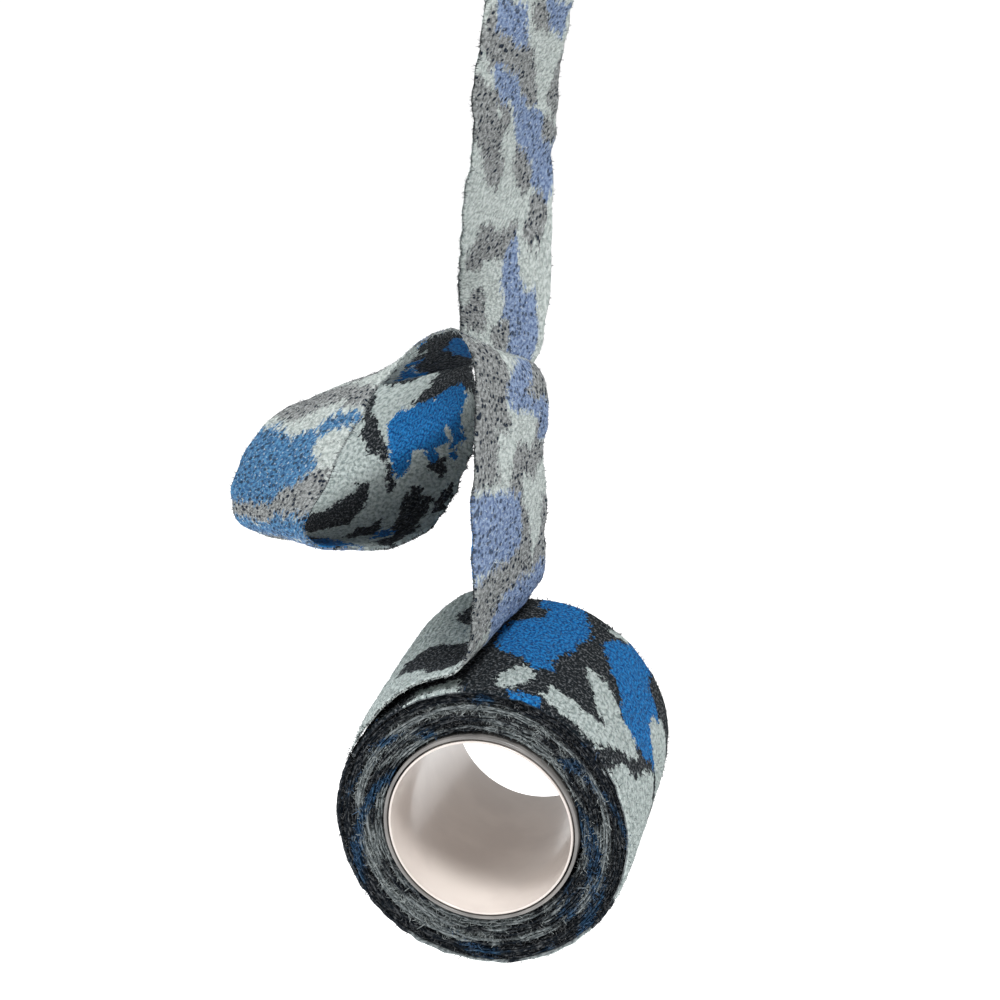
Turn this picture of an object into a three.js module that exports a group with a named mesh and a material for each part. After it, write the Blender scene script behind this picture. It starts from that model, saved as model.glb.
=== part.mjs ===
// Hand wrap: a cohesive elastic bandage wound on a short tube. Its free tail is held up by the
// end, falls in a loose pigtail curl and drops straight onto the roll, where it peels away.
// Millimetres, +Z up, the roll's axis along Y. The origin is the held end of the tail.
import * as THREE from 'three';
import { mergeVertices } from 'three/addons/utils/BufferGeometryUtils.js';

// Driving dimensions
const WRAP_WIDTH = 50;
const CLOTH_THICKNESS = 0.5; // one wound turn
const TAIL_THICKNESS = 0.8; // the relaxed, crinkled tail
const ROLL_RADIUS = 28;
const BORE_RADIUS = 16.8;
const LINER_WALL = 0.45;
const CORE_WALL = 0.65;
const GAP = 0.3; // clearance between pieces that touch on the real wrap
const GRIP_HEIGHT = 158; // the held end above the roll's axis
const GRIP_X = 3.4; // the held end's middle, seen from the roll's middle
const GRIP_Y = 18;
const LIFT_ANGLE = 155; // where the last turn starts to lift, degrees from +X towards +Z
const RING_STEPS = 72;

const model = new THREE.Group();
const wrap = new THREE.Group(); // everything in here is measured from the middle of the roll
wrap.position.set(-GRIP_X, -GRIP_Y, -GRIP_HEIGHT);
model.add(wrap);

const FINISH = {
  printedFace: { color: 0x2c5fae, roughness: 0.95, metalness: 0 },
  paleFace: { color: 0x9fb0c4, roughness: 0.95, metalness: 0 },
  woundEdge: { color: 0x565d66, roughness: 0.97, metalness: 0 },
  core: { color: 0xcfc6c1, roughness: 0.35, metalness: 0 },
  liner: { color: 0xe6d9d5, roughness: 0.18, metalness: 0 },
  adhesive: { color: 0xd8d2c0, roughness: 0.5, metalness: 0 },
};

function addPiece(name, geometry, finish) {
  const piece = new THREE.Mesh(geometry, new THREE.MeshStandardMaterial(FINISH[finish]));
  piece.name = name;
  wrap.add(piece);
  return piece;
}

// ---- A thin closed strip through rows of four corners: near and far selvedge, both faces ----

function stripSolid(rows) {
  const positions = [];
  const indices = [];
  rows.forEach((row) => row.forEach((corner) => positions.push(corner.x, corner.y, corner.z)));
  for (let row = 0; row + 1 < rows.length; row += 1) {
    for (let side = 0; side < 4; side += 1) {
      const a = row * 4 + side;
      const b = row * 4 + ((side + 1) % 4);
      indices.push(a, b + 4, b, a, a + 4, b + 4);
    }
  }
  const last = (rows.length - 1) * 4;
  indices.push(0, 1, 2, 0, 2, 3);
  indices.push(last, last + 2, last + 1, last, last + 3, last + 2);
  const geometry = new THREE.BufferGeometry();
  geometry.setAttribute('position', new THREE.Float32BufferAttribute(positions, 3));
  geometry.setIndex(indices);
  const solid = mergeVertices(geometry);
  solid.computeVertexNormals();
  return solid;
}

// ---- The tail: one strip, drawn by its two selvedges and cut into the pieces that move ----

// Each station is [name, near selvedge, far selvedge], from the last turn up to the held end.
const liftStart = THREE.MathUtils.degToRad(LIFT_ANGLE);
const liftRadius = ROLL_RADIUS + GAP + TAIL_THICKNESS / 2;

function besideRoll(degrees, lift, y) {
  const angle = THREE.MathUtils.degToRad(degrees);
  const radius = liftRadius + lift;
  return [radius * Math.cos(angle), y, radius * Math.sin(angle)];
}

const NEAR = -WRAP_WIDTH / 2;
const FAR = WRAP_WIDTH / 2;
const STATIONS = [
  ['lift_start', besideRoll(LIFT_ANGLE, 0, NEAR), besideRoll(LIFT_ANGLE, 0.4, FAR)],
  ['lift_rise', besideRoll(140, 0.5, NEAR), besideRoll(140, 2.4, FAR)],
  ['lift_top', besideRoll(122, 1.0, NEAR), besideRoll(121, 1.8, FAR)],
  ['peel_in', besideRoll(105, 1.2, NEAR), besideRoll(101, 0.3, FAR)],
  ['peel', [-3.4, NEAR, 31.6], [0.2, FAR, 29.9]],
  ['peel_out', [-1.8, NEAR, 36.5], [1.6, FAR, 33]],
  ['lower_bottom', [-1.3, NEAR, 42], [1.65, FAR, 40]],
  ['lower_middle', [-1.2, NEAR, 54], [1.65, FAR, 50]],
  ['lower_top', [-0.9, NEAR, 68], [1.6, FAR, 59]],
  ['crest_right', [-0.3, NEAR, 83], [2.4, FAR, 68]],
  ['crest_rise', [-1.5, NEAR, 89.5], [0, FAR, 75.4]],
  ['crest', [-5, NEAR, 92], [-12.5, 22, 75.5]],
  ['crest_left', [-10.5, NEAR, 89], [-27, 18, 72.3]],
  ['left_top', [-16, NEAR, 84], [-40, 14, 70]],
  ['left_upper', [-20.5, NEAR, 77.5], [-50.5, 12, 64.5]],
  ['left_wall', [-25.5, NEAR, 69], [-57, 11, 55.5]],
  ['left_lower', [-29.5, -24.5, 60.5], [-59.5, 13, 48]],
  ['left_foot', [-32.5, -24, 54.5], [-60, 17, 42]],
  ['bottom_left', [-31, -21, 50.5], [-58.5, 23, 38]],
  ['bottom', [-25, -14, 48], [-57, 28, 36.5]],
  ['bottom_right', [-19, -5, 47], [-55.5, 32, 37.5]],
  ['right_foot', [-15, 4, 48.5], [-54, 35.5, 40.5]],
  ['right_lower', [-13, 11.5, 52.5], [-53, 41, 46]],
  ['right_wall', [-12, 17.5, 58.5], [-47, 53, 56]],
  ['right_upper', [-12, 21.5, 65], [-38.5, 62, 62.5]],
  ['back_turn', [-12.8, 24.5, 72], [-27, 71, 66]],
  ['back_low', [-15.6, 26.6, 79], [-12, 75, 63]],
  ['back_rise', [-16.3, 26.8, 86], [-8.4, 75.3, 74.5]],
  ['back', [-15.4, 24, 94], [-7.2, 71, 105]],
  ['upper_low', [-12.5, 17, 106], [-4.6, 65.5, 119]],
  ['upper_middle', [-8, 4.5, 124], [-0.7, 54, 135]],
  ['upper_high', [-4, -4, 141], [4, 45, 146.5]],
  ['grip', [-0.6, -7, 158], [7.4, 42.4, 158]],
];

const STATION_AT = Object.fromEntries(STATIONS.map(([name], index) => [name, index]));
const toCurve = (column) =>
  new THREE.CatmullRomCurve3(
    STATIONS.map((station) => new THREE.Vector3(...station[column])),
    false,
    'centripetal',
  );
const nearSelvedge = toCurve(1);
const farSelvedge = toCurve(2);

function tailPoint(place) {
  const t = place / (STATIONS.length - 1);
  const near = nearSelvedge.getPoint(t);
  const ruling = farSelvedge.getPoint(t).sub(near).setLength(WRAP_WIDTH);
  return { near, far: near.clone().add(ruling), ruling };
}

function tailRow(place) {
  const here = tailPoint(place);
  const step = 0.02;
  const before = tailPoint(Math.max(place - step, 0));
  const after = tailPoint(Math.min(place + step, STATIONS.length - 1));
  const corner = (selvedge, side) => {
    const along = after[selvedge].clone().sub(before[selvedge]);
    const normal = along.cross(here.ruling).setLength((side * TAIL_THICKNESS) / 2);
    return here[selvedge].clone().add(normal);
  };
  return [corner('near', 1), corner('far', 1), corner('far', -1), corner('near', -1)];
}

// A piece of tail between two places; a place is a station's index plus a fraction.
function tailPiece(name, from, to, finish) {
  const length = nearLength(from, to);
  const trim = (GAP / 2 / length) * (to - from);
  const first = from === 0 ? 0 : from + trim;
  const last = to - trim;
  const steps = Math.max(4, Math.round((last - first) * 4));
  const rows = [];
  for (let step = 0; step <= steps; step += 1) {
    rows.push(tailRow(first + ((last - first) * step) / steps));
  }
  addPiece(name, stripSolid(rows), finish);
}

function nearLength(from, to) {
  return tailPoint(from).near.distanceTo(tailPoint(to).near);
}

const payoutTop = STATION_AT.lower_top - 0.2;
const swingPlace = STATION_AT.crest_right - 0.35;
const curlBottom = STATION_AT.bottom;
const twistBottom = STATION_AT.upper_low;
const twistTop = STATION_AT.upper_middle;
const stretchTop = STATION_AT.upper_high + 0.3;
tailPiece('lifted_turn', 0, STATION_AT.peel_out, 'printedFace');
tailPiece('payout_strip', STATION_AT.peel_out, payoutTop, 'paleFace');
tailPiece('lower_tail', payoutTop, swingPlace, 'paleFace');
tailPiece('curl_front', swingPlace, curlBottom, 'printedFace');
tailPiece('curl_back', curlBottom, twistBottom, 'paleFace');
tailPiece('tail_middle', twistBottom, twistTop, 'paleFace');
tailPiece('tail_upper', twistTop, stretchTop, 'paleFace');
tailPiece('held_end', stretchTop, STATION_AT.grip, 'paleFace');

// ---- The last full turn: it spirals from the lift down under its own start ----

function outermostTurn() {
  const rows = [];
  const startRadius = ROLL_RADIUS;
  const drop = CLOTH_THICKNESS + 2 * GAP;
  for (let step = 0; step <= RING_STEPS; step += 1) {
    const share = step / RING_STEPS;
    const angle = liftStart + THREE.MathUtils.degToRad(1.5 + share * 357);
    const outer = startRadius - drop * share;
    const inner = outer - CLOTH_THICKNESS;
    const at = (radius, y) => new THREE.Vector3(radius * Math.cos(angle), y, radius * Math.sin(angle));
    rows.push([at(outer, NEAR), at(inner, NEAR), at(inner, FAR), at(outer, FAR)]);
  }
  addPiece('outermost_turn', stripSolid(rows), 'printedFace');
}
outermostTurn();

// ---- Rings round the roll's axis: bundles of wound turns, the core and its liner ----

function ring(name, inner, outer, halfWidth, finish) {
  const profile = [
    new THREE.Vector2(inner, -halfWidth),
    new THREE.Vector2(outer, -halfWidth),
    new THREE.Vector2(outer, halfWidth),
    new THREE.Vector2(inner, halfWidth),
    new THREE.Vector2(inner, -halfWidth),
  ];
  addPiece(name, new THREE.LatheGeometry(profile, RING_STEPS), finish);
}

const linerOuter = BORE_RADIUS + LINER_WALL;
const coreInner = linerOuter + GAP;
const coreOuter = coreInner + CORE_WALL;
const tapeInner = coreOuter + GAP;
const tapeOuter = tapeInner + GAP;
const windingInner = tapeOuter + GAP;
const windingOuter = ROLL_RADIUS - 2 * CLOTH_THICKNESS - 3 * GAP;
const BUNDLES = ['inner_turns', 'middle_turns', 'outer_turns'];
const HALF_WIDTH = WRAP_WIDTH / 2;
const CORE_PROUD = 0.6; // the core stands out past the cloth at both ends

ring('core_liner', BORE_RADIUS, linerOuter, HALF_WIDTH + CORE_PROUD, 'liner');
ring('core_tube', coreInner, coreOuter, HALF_WIDTH + CORE_PROUD, 'core');

const bundleDepth = (windingOuter - windingInner - GAP * (BUNDLES.length - 1)) / BUNDLES.length;
BUNDLES.forEach((name, index) => {
  const inner = windingInner + index * (bundleDepth + GAP);
  ring(name, inner, inner + bundleDepth, HALF_WIDTH, 'woundEdge');
});

// ---- The strip of adhesive tape that holds the wrap's first end on the core ----

function startTape() {
  const rows = [];
  const steps = 8;
  const spanDegrees = 34;
  const halfLength = HALF_WIDTH - 2;
  for (let step = 0; step <= steps; step += 1) {
    const angle = THREE.MathUtils.degToRad(-90 + spanDegrees * (step / steps - 0.5));
    const at = (radius, y) => new THREE.Vector3(radius * Math.cos(angle), y, radius * Math.sin(angle));
    rows.push([
      at(tapeOuter, -halfLength),
      at(tapeInner, -halfLength),
      at(tapeInner, halfLength),
      at(tapeOuter, halfLength),
    ]);
  }
  addPiece('start_tape', stripSolid(rows), 'adhesive');
}
startTape();

export default model;
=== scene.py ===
import math

import bpy
import numpy as np
from mathutils import Matrix, Vector


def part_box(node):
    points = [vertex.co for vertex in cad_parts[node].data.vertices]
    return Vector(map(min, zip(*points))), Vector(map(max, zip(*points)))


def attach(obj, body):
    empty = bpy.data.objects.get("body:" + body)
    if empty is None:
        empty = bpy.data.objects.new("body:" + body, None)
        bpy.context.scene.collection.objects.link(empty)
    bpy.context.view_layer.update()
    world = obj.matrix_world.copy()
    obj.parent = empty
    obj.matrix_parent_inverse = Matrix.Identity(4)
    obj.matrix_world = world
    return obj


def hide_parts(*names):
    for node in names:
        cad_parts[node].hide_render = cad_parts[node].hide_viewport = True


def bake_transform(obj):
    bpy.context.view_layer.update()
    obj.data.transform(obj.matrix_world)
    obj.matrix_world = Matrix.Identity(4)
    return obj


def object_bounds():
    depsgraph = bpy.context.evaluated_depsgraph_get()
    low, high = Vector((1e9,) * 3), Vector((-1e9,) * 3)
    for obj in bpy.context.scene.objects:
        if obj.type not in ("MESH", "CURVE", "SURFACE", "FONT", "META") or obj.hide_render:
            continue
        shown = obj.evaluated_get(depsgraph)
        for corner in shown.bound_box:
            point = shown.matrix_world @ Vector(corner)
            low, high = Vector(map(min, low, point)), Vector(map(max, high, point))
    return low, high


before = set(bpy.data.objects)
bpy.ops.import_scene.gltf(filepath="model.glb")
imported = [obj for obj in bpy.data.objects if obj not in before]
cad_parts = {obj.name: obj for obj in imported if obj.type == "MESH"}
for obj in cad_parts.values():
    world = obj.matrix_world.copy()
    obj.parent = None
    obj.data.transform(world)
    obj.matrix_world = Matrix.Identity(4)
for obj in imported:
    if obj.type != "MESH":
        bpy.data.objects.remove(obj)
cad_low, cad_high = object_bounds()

# A hand wrap: a printed elastic bandage wound on a short tube, its tail held up in a loose curl.
# Cloth is drawn in millimetres from the middle of the roll (X right, Y along the roll's axis,
# Z up) and moved into the frame by to_frame(). Along the cloth, s runs from the last turn up to
# the held end and v runs across, from the near selvedge (-25) to the far one (+25).

core_low, core_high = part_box("core_tube")
ROLL_CENTRE = np.array((core_low + core_high) / 2)
MM = 0.001

WIDTH = 50.0
HALF = WIDTH / 2
TAIL_THICKNESS = 0.7
GRID = 0.45               # spacing of the cloth's vertices
SELVEDGE = 0.45           # width of the rounded selvedge

ROLL_RADIUS = 28.0        # where distances round the roll are measured
OUTER_TURN = 27.4         # the outer turn's middle; its relief stays clear under the lifted strip
OUTER_THICKNESS = 0.6
LIFT_RADIUS = 28.4        # the lifted strip rests on the outer turn where it starts
LIFT_DEGREES = 155.0      # angle round the roll at which the lifted strip starts
WINDING_OUTER = 26.6
WINDING_INNER = 18.55
TURNS = 20
PITCH = (WINDING_OUTER - WINDING_INNER) / TURNS
SPIRAL_STEP = 0.66        # spacing round the roll between rows of the hidden turns
GROOVES = ((3.6, 0.8), (8.6, 1.2), (13.2, 1.3))  # turn and depth of each groove in the roll's ends

CORE_OUTER = 18.2
CORE_INNER = 17.55
LINER_OUTER = 17.25
BORE_RADIUS = 16.8
CORE_LENGTH = 51.2


def to_frame(points):
    """Millimetres from the middle of the roll to metres in the frame."""
    return np.asarray(points, float) * MM + ROLL_CENTRE


def in_frame(x, y, z):
    return tuple(to_frame([[x, y, z]])[0])


# ---- Noise ----

def noise(x, y, seed):
    """Smooth noise from -1 to 1, one unit of x or y per bump."""
    table = np.random.default_rng(seed).uniform(-1, 1, (256, 256))
    x, y = np.broadcast_arrays(np.asarray(x, float), np.asarray(y, float))
    column = np.floor(x).astype(int)
    row = np.floor(y).astype(int)
    along = x - column
    up = y - row
    along = along * along * (3 - 2 * along)
    up = up * up * (3 - 2 * up)
    levels = []
    for j in (0, 1):
        left = table[column % 256, (row + j) % 256]
        right = table[(column + 1) % 256, (row + j) % 256]
        levels.append(left * (1 - along) + right * along)
    return levels[0] * (1 - up) + levels[1] * up


def beyond_middle(v, shift=40.0):
    """A shift for the far half of the cloth, so that its two edges wander apart."""
    return np.where(v > 0, shift, 0.0)


# ---- The tail's line: listed stations, each with its near and far selvedge ----

def beside_roll(degrees, lift, y):
    angle = math.radians(degrees)
    radius = LIFT_RADIUS + lift
    return (radius * math.cos(angle), y, radius * math.sin(angle))


STATIONS = [
    ("lift_start", beside_roll(LIFT_DEGREES, -0.35, -HALF), beside_roll(LIFT_DEGREES, -0.35, HALF)),
    ("lift_rise", beside_roll(140, 0.2, -HALF), beside_roll(140, 1.6, HALF)),
    ("lift_top", beside_roll(122, 0.7, -HALF), beside_roll(121, 1.8, HALF)),
    ("peel_in", beside_roll(105, 1.2, -HALF), beside_roll(101, 0.6, HALF)),
    ("peel", (-3.4, -HALF, 31.6), (0.2, HALF, 29.9)),
    ("peel_out", (-1.8, -HALF, 36.5), (1.6, HALF, 33)),
    ("lower_bottom", (-1.3, -HALF, 42), (1.65, HALF, 40)),
    ("lower_middle", (-1.2, -HALF, 54), (1.65, HALF, 50)),
    ("lower_top", (-0.9, -HALF, 68), (1.6, HALF, 59)),
    ("crest_right", (-0.3, -HALF, 83), (2.4, HALF, 68)),
    ("crest_rise", (-1.5, -HALF, 89.5), (0, HALF, 75.4)),
    ("crest", (-5, -HALF, 92), (-12.5, 22, 75.5)),
    ("crest_left", (-10.5, -HALF, 89), (-27, 18, 72.3)),
    ("left_top", (-16, -HALF, 84), (-40, 14, 70)),
    ("left_upper", (-20.5, -HALF, 77.5), (-50.5, 12, 64.5)),
    ("left_wall", (-25.5, -HALF, 69), (-57, 11, 55.5)),
    ("left_lower", (-29.5, -24.5, 60.5), (-59.5, 13, 48)),
    ("left_foot", (-32.5, -24, 54.5), (-60, 17, 42)),
    ("bottom_left", (-31, -21, 50.5), (-58.5, 23, 38)),
    ("bottom", (-25, -14, 48), (-57, 28, 36.5)),
    ("bottom_right", (-19, -5, 47), (-55.5, 32, 37.5)),
    ("right_foot", (-15, 4, 48.5), (-54, 35.5, 40.5)),
    ("right_lower", (-13, 11.5, 52.5), (-53, 41, 46)),
    ("right_wall", (-12, 17.5, 58.5), (-47, 53, 56)),
    ("right_upper", (-12, 21.5, 65), (-38.5, 62, 62.5)),
    ("back_turn", (-12.8, 24.5, 72), (-27, 71, 66)),
    ("back_low", (-15.6, 26.6, 79), (-12, 75, 63)),
    ("back_rise", (-16.3, 26.8, 86), (-8.4, 75.3, 74.5)),
    ("back", (-15.4, 24, 94), (-7.2, 71, 105)),
    ("upper_low", (-12.5, 17, 106), (-4.6, 65.5, 119)),
    ("upper_middle", (-8, 4.5, 124), (-0.7, 54, 135)),
    ("upper_high", (-4, -4, 141), (4, 45, 146.5)),
    ("grip", (-0.6, -7, 158), (7.4, 42.4, 158)),
]
STEPS_PER_STATION = 40


def smooth_curve(points):
    """A centripetal Catmull-Rom curve through the points, STEPS_PER_STATION steps apart."""
    points = np.asarray(points, float)
    padded = np.vstack([2 * points[0] - points[1], points, 2 * points[-1] - points[-2]])
    weights = np.linspace(0, 1, STEPS_PER_STATION, endpoint=False)[:, None]
    curve = []
    for a, b, c, d in zip(padded, padded[1:], padded[2:], padded[3:]):
        before, here, after = (np.linalg.norm(q - p) ** 0.5 for p, q in ((a, b), (b, c), (c, d)))
        out = (b - a) / before - (c - a) / (before + here) + (c - b) / here
        back = (c - b) / here - (d - b) / (here + after) + (d - c) / after
        out, back = out * here, back * here
        curve.append(b + out * weights + (3 * (c - b) - 2 * out - back) * weights**2
                     + (2 * (b - c) + out + back) * weights**3)
    curve.append(padded[-2:-1])
    return np.vstack(curve)


near_curve = smooth_curve([station[1] for station in STATIONS])
far_curve = smooth_curve([station[2] for station in STATIONS])
ruling = far_curve - near_curve
far_curve = near_curve + ruling / np.linalg.norm(ruling, axis=1)[:, None] * WIDTH
middle_steps = np.linalg.norm(np.diff((near_curve + far_curve) / 2, axis=0), axis=1)
curve_s = np.concatenate([[0], np.cumsum(middle_steps)])
S_AT = {station[0]: curve_s[i * STEPS_PER_STATION] for i, station in enumerate(STATIONS)}
TAIL_LENGTH = curve_s[-1]


def along_curve(curve, s):
    return np.stack([np.interp(s, curve_s, curve[:, axis]) for axis in range(3)], axis=-1)


def tail_surface(s, v):
    """Points and printed-side normals of the tail at s by v, with its swell and wavy selvedges."""
    step = 0.8
    near, far = along_curve(near_curve, s), along_curve(far_curve, s)
    ahead = along_curve(near_curve, s + step) + along_curve(far_curve, s + step)
    behind = along_curve(near_curve, s - step) + along_curve(far_curve, s - step)
    tangent = (ahead - behind)[:, None]
    normal = np.cross(tangent, (far - near)[:, None])
    normal = normal / np.linalg.norm(normal, axis=-1, keepdims=True)
    s_grid, v_grid = np.meshgrid(s, v, indexing="ij")
    edge = np.abs(v_grid / HALF) ** 6
    side = beyond_middle(v_grid)
    wave = 0.4 * noise(s_grid / 1.9, side, 11) + 0.45 * noise(s_grid / 8, side, 12)
    share = (v_grid + edge * wave + HALF) / WIDTH
    points = near[:, None] * (1 - share[..., None]) + far[:, None] * share[..., None]
    swell = 0.40 * noise(s_grid / 11, v_grid / 13, 13) + 0.18 * noise(s_grid / 4, v_grid / 6, 14)
    swell = swell + 0.35 * edge * noise(s_grid / 5, side, 15)
    free = np.clip((s_grid - 4) / 16, 0.05, 1)  # its start lies flat on the roll
    points = points + normal * (swell * free - 0.7 * edge * (1 - free))[..., None]
    return points, normal * np.ones_like(points), s_grid, v_grid


def rib_relief(s, v, seed):
    """The cloth's crepe: ribs 1.5 mm apart and a fine grain, fading out at the selvedges."""
    phase = s / 0.75 + 0.9 * noise(s / 5, v / 4, seed)
    ribs = 0.5 + 0.5 * np.sin(math.pi * phase)
    strength = 0.6 + 0.4 * noise(s / 6, v / 7, seed + 1)
    grain = noise(s / 1.15, v / 1.15, seed + 2)
    inside = np.clip((HALF - np.abs(v)) / 0.6, 0, 1)
    return inside * (0.15 * ribs * strength + 0.15 * grain)


# ---- The print: listed patches of a camouflage, in cloth millimetres (s, v) ----
# Each patch is drawn over the ones before it. What no patch covers is pale mint.

CURL_CREST = [
    ("charcoal", [(87, -26), (101.5, -26), (100.5, -8), (102, 8), (99.5, 26), (87, 26)]),
    ("blue", [(88, -14), (93.5, -17), (96, -8), (95, 6), (91, 14), (88, 12)]),
]

CURL_INSIDE = [
    ("charcoal", [(203.8, 5.2), (205.4, 3.3), (207.1, 2.5), (209.2, 2.9), (210.4, 1.3), (211.7, 4.2),
        (213.3, 7.5), (214, 15), (215.5, 19), (216, 26), (224, 26), (224, -26), (215.5, -26),
        (214.6, -18), (212, -7.5), (208.3, -5), (206.2, -0.8)]),
    ("charcoal", [(206.5, 26), (207, 20), (209, 15.5), (211, 14), (213, 15), (214, 18), (214, 26)]),
    ("charcoal", [(168.8, 17.5), (171.7, 18.5), (174.6, 15.4), (175.8, 12.9), (178.3, 10.4), (180, 7.9),
        (182.1, 6.2), (184.8, 5.4), (184.2, 3.3), (181.7, 1), (178.3, 0.8), (175.8, 1.5),
        (172.9, 0.4), (170.8, 3.3), (169.6, 6.7), (166.5, 9), (163, 14), (163, 20)]),
    ("charcoal", [(200.4, 20.4), (203.3, 22), (202.5, 17.9), (199.2, 15.8), (198.3, 11.2), (196.7, 8.8),
        (195, 5.4), (193.8, 2.5), (191.2, 0), (187.5, -4.2), (185.8, -5.6), (184.2, -4.8),
        (190, -0.4), (192.5, 3.3), (192.1, 7.9), (194.2, 10.8), (196.2, 13.8), (198.3, 16.2)]),
    ("blue", [(200.4, 7.5), (203, 7.5), (203.8, 3.3), (206.2, -0.8), (208.3, -5), (212, -7.5),
        (214.2, -10.8), (214.6, -15), (213.3, -18.3), (212.5, -20.4), (210.4, -18.8), (208.8, -19.2),
        (206.7, -18.8), (204.6, -20.4), (202.9, -22.5), (201.7, -20.8), (198.8, -20), (196.2, -21.2),
        (195, -20.4), (198.3, -18.3), (201.7, -17.1), (203.8, -14.6), (202.5, -14.2), (200.4, -16.2),
        (198.3, -15.4), (197.1, -13.3), (195, -15), (193.3, -14.6), (195, -11.2), (195.2, -7.5),
        (194.2, -5.8), (191.2, -7.1), (188.3, -6.7), (187.1, -5), (189.6, -2.5), (192.5, 0.4),
        (194.6, 3.3), (197.1, 5.4), (198.8, 7.3)]),
    ("charcoal", [(191.7, -14.2), (195, -15), (194.6, -17.5), (192.5, -19.2), (190, -19.2),
        (190.4, -16.7)]),
    ("charcoal", [(180.8, -11.7), (185, -11.2), (185.6, -13.8), (183.3, -15.4), (180.8, -16.7),
        (183.3, -17.1), (182.5, -19.6), (180, -20.4), (177.5, -20), (175, -21.7), (172.9, -23),
        (167, -24), (167, -19), (172, -19), (173.3, -15), (175.8, -13.8), (178.3, -13.3)]),
    ("charcoal", [(171.2, -5), (172.1, -7.1), (175.4, -8.3), (172.9, -10.8), (171.7, -12.5), (170, -12.5),
        (166, -10), (167, -6.7)]),
    ("blue", [(170.8, -13.3), (172.9, -12.5), (173.3, -15.4), (172.5, -18.3), (170.4, -18.8),
        (168.6, -15)]),
    ("charcoal", [(180, -22.5), (184.2, -21.9), (187.5, -22.5), (186.7, -23.5), (180, -23.8)]),
]

LOWER_TAIL = [
    ("blue", [(31, 26), (38.5, 26), (39, 20), (38.8, 12), (39.6, 5), (39.6, -3), (39.4, -8), (37, -13),
        (31, -13)]),
    ("charcoal", [(39.6, 12), (45, 11.5), (47.5, 8), (48.5, 4.5), (47.5, -1), (46.8, -10), (46, -26),
        (33, -26), (37, -13), (39.6, -8)]),
    ("charcoal", [(38.5, 26), (39.5, 12), (42, 14), (42.5, 20), (48, 21), (52, 21), (52, 26)]),
    ("charcoal", [(46.2, 10.4), (50.8, 10.4), (54.2, 5.4), (56.7, 4.2), (60.8, 4.2), (62.5, 6.7),
        (64.6, 7.5), (66.2, 5.4), (67, 2), (64.2, 0), (62.5, -0.4), (60.4, -2), (57.5, -1.7),
        (56.7, 1.7), (51.7, 4.6), (48.3, 5.4), (45.8, 7.5)]),
    ("charcoal", [(60.4, 15.8), (61.7, 15), (63.3, 24), (66.2, 24), (66.2, 15.4), (65, 12.5),
        (66.2, 8.3), (67, 3.3), (63.3, 1.7), (62, 6.7), (60.8, 11.2), (60, 13.8)]),
    ("blue", [(48.3, 5), (56.7, 3.3), (58.3, -2.5), (59.2, -10), (60, -15), (60.5, -26), (48.5, -26),
        (47.5, -18.8), (47.5, -12.5), (46.7, -4.2), (47.5, 0)]),
    ("charcoal", [(66.2, 19.6), (68, 20), (70, 17.5), (73.5, 17), (73.5, 15), (69.5, 15.5), (66.2, 15.2)]),
    ("charcoal", [(62.5, -9.6), (67.5, -10.4), (70.8, -13.3), (71.2, -5), (75, -7.1), (79.2, -5),
        (85, -7.5), (86, -26), (62.5, -26)]),
    ("charcoal", [(77.5, 26), (77, 14), (78, 6), (80, 9), (83, 13), (86, 20), (86, 26)]),
    ("blue", [(68, 26), (68, 20), (70, 17.5), (73.5, 17), (74.4, 12), (74.6, 2), (75.4, -6), (79, -4.5),
        (82, 1.5), (85, 10), (85, 16), (81, 12), (78, 6), (77, 14), (77, 26)]),
]

CURL_OUTSIDE = [
    ("charcoal", [(119.5, 26), (122, 26), (124.2, 12.5), (124.6, 4.2), (123.3, 0), (121, 1), (121.5, -5),
        (120.5, -12), (122.5, -20), (123, -26), (119.5, -26), (118, -12), (116.5, -2), (116, 5),
        (117, 15)]),
    ("charcoal", [(106, 26), (111, 26), (112, 12), (113, 2), (112, -10), (108, -14), (106, 4)]),
    ("blue", [(126.2, 26), (143.8, 26), (144, 18.8), (143.8, 8.3), (143.8, 0), (141.2, -4.2),
        (139.6, -10.4), (137.5, -17.1), (135.4, -16.7), (134.2, -13.8), (131.7, -11.7),
        (129.2, -10.4), (127.9, -6.2), (129.2, 0), (130, 2.5), (127.9, 10.4), (126.2, 16.7)]),
    ("charcoal", [(143.8, 26), (146.7, 26), (148.3, 14.6), (150, 1.7), (147.5, -4.2), (147, -26),
        (140, -26), (137.5, -20), (137.5, -17.1), (139.6, -10.4), (141.2, -4.2), (143.8, 0)]),
    ("blue", [(148.3, 26), (153, 26), (153, -26), (147.2, -26), (147.5, -4), (150, 1.7)]),
    ("blue", [(125, -20.8), (125, -14.6), (126.2, -10.4), (127.9, -7.5), (129.2, -10.4), (130, -11.7),
        (128.3, -14.6), (127.5, -16.7), (127.5, -26), (125.8, -26)]),
]

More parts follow.
